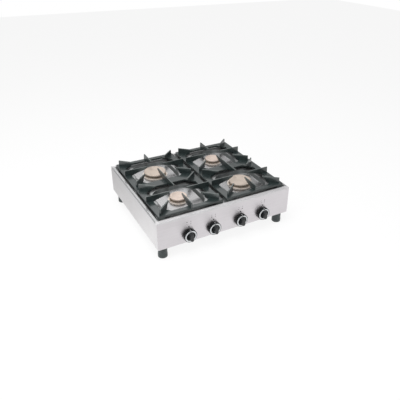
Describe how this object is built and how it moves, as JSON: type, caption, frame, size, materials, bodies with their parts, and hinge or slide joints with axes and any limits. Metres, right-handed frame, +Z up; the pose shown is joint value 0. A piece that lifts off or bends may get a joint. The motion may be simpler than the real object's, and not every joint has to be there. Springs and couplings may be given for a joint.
{
  "type": "countertop gas stove",
  "caption": "Table-top gas hob: open burners in a pressed steel top, cast-iron pan supports, push-and-turn knobs on a front panel, gas inlet at the back, on feet.",
  "frame": {"origin": "on the table under the centre of the outer box", "axes": "+Z up, -Y towards the user and the knobs, +X to the user's right, +Y towards the gas inlet"},
  "size_m": [0.7, 0.693, 0.245],
  "materials": {
    "hob_steel": "satin",
    "panel_steel": "satin",
    "inner_steel": "matt",
    "grate_iron": "matt enamel",
    "cap_metal": "satin",
    "ring_steel": "satin",
    "cup_aluminium": "satin",
    "knob_black": "satin",
    "trim_chrome": "satin",
    "foot_plastic": "satin",
    "brass": "machined",
    "zinc": "plated",
    "tube_aluminium": "drawn"
  },
  "bodies": {
    "casing": {"hob_top": "hob_steel", "front_panel": "panel_steel", "left_side_panel": "panel_steel", "right_side_panel": "panel_steel", "rear_panel": "panel_steel", "base_tray": "inner_steel", "feet": "foot_plastic", "foot_bolts": "zinc", "casing_screws": "zinc", "clamp_screws": "zinc", "gas_rail": "inner_steel", "rail_end_plug": "brass", "rail_straps": "zinc", "rail_cradles": "zinc", "inlet_fitting": "brass", "inlet_lock_nut": "brass", "jet_brackets": "zinc", "tube_nuts": "brass", "burner_cup_front_left": "cup_aluminium", "flame_ring_front_left": "ring_steel", "gas_valve_front_left": "brass", "supply_tube_front_left": "tube_aluminium", "jet_front_left": "brass", "burner_cup_front_right": "cup_aluminium", "flame_ring_front_right": "ring_steel", "gas_valve_front_right": "brass", "supply_tube_front_right": "tube_aluminium", "jet_front_right": "brass", "burner_cup_rear_left": "cup_aluminium", "flame_ring_rear_left": "ring_steel", "gas_valve_rear_left": "brass", "supply_tube_rear_left": "tube_aluminium", "jet_rear_left": "brass", "burner_cup_rear_right": "cup_aluminium", "flame_ring_rear_right": "ring_steel", "gas_valve_rear_right": "brass", "supply_tube_rear_right": "tube_aluminium", "jet_rear_right": "brass"},
    "pan_support_left": {"pan_support_left": "grate_iron"},
    "pan_support_right": {"pan_support_right": "grate_iron"},
    "burner_cap_front_left": {"burner_cap_front_left": "cap_metal"},
    "tap_front_left": {"valve_plug_front_left": "brass"},
    "knob_front_left": {"knob_front_left": "knob_black", "trim_ring_front_left": "trim_chrome", "valve_spindle_front_left": "zinc"},
    "burner_cap_front_right": {"burner_cap_front_right": "cap_metal"},
    "tap_front_right": {"valve_plug_front_right": "brass"},
    "knob_front_right": {"knob_front_right": "knob_black", "trim_ring_front_right": "trim_chrome", "valve_spindle_front_right": "zinc"},
    "burner_cap_rear_left": {"burner_cap_rear_left": "cap_metal"},
    "tap_rear_left": {"valve_plug_rear_left": "brass"},
    "knob_rear_left": {"knob_rear_left": "knob_black", "trim_ring_rear_left": "trim_chrome", "valve_spindle_rear_left": "zinc"},
    "burner_cap_rear_right": {"burner_cap_rear_right": "cap_metal"},
    "tap_rear_right": {"valve_plug_rear_right": "brass"},
    "knob_rear_right": {"knob_rear_right": "knob_black", "trim_ring_rear_right": "trim_chrome", "valve_spindle_rear_right": "zinc"}
  },
  "joints": [
    {"name": "pan_support_left_lift", "type": "slide", "parent": "casing", "child": "pan_support_left", "axis": [0, 0, 1], "range_m": [0, 0.06]},
    {"name": "pan_support_right_lift", "type": "slide", "parent": "casing", "child": "pan_support_right", "axis": [0, 0, 1], "range_m": [0, 0.06]},
    {"name": "burner_cap_front_left_lift", "type": "slide", "parent": "casing", "child": "burner_cap_front_left", "axis": [0, 0, 1], "range_m": [0, 0.01]},
    {"name": "knob_front_left_turn", "type": "hinge", "parent": "casing", "child": "tap_front_left", "pos_m": [-0.0725, -0.31, 0.101], "axis": [0, -1, 0], "range_deg": [0, 180]},
    {"name": "knob_front_left_push", "type": "slide", "parent": "tap_front_left", "child": "knob_front_left", "axis": [0, 1, 0], "range_m": [0, 0.004], "stiffness_N_per_m": 1500, "springref_m": -0.004},
    {"name": "burner_cap_front_right_lift", "type": "slide", "parent": "casing", "child": "burner_cap_front_right", "axis": [0, 0, 1], "range_m": [0, 0.01]},
    {"name": "knob_front_right_turn", "type": "hinge", "parent": "casing", "child": "tap_front_right", "pos_m": [0.0725, -0.31, 0.101], "axis": [0, -1, 0], "range_deg": [0, 180]},
    {"name": "knob_front_right_push", "type": "slide", "parent": "tap_front_right", "child": "knob_front_right", "axis": [0, 1, 0], "range_m": [0, 0.004], "stiffness_N_per_m": 1500, "springref_m": -0.004},
    {"name": "burner_cap_rear_left_lift", "type": "slide", "parent": "casing", "child": "burner_cap_rear_left", "axis": [0, 0, 1], "range_m": [0, 0.01]},
    {"name": "knob_rear_left_turn", "type": "hinge", "parent": "casing", "child": "tap_rear_left", "pos_m": [-0.1975, -0.31, 0.101], "axis": [0, -1, 0], "range_deg": [0, 180]},
    {"name": "knob_rear_left_push", "type": "slide", "parent": "tap_rear_left", "child": "knob_rear_left", "axis": [0, 1, 0], "range_m": [0, 0.004], "stiffness_N_per_m": 1500, "springref_m": -0.004},
    {"name": "burner_cap_rear_right_lift", "type": "slide", "parent": "casing", "child": "burner_cap_rear_right", "axis": [0, 0, 1], "range_m": [0, 0.01]},
    {"name": "knob_rear_right_turn", "type": "hinge", "parent": "casing", "child": "tap_rear_right", "pos_m": [0.1975, -0.31, 0.101], "axis": [0, -1, 0], "range_deg": [0, 180]},
    {"name": "knob_rear_right_push", "type": "slide", "parent": "tap_rear_right", "child": "knob_rear_right", "axis": [0, 1, 0], "range_m": [0, 0.004], "stiffness_N_per_m": 1500, "springref_m": -0.004}
  ]
}
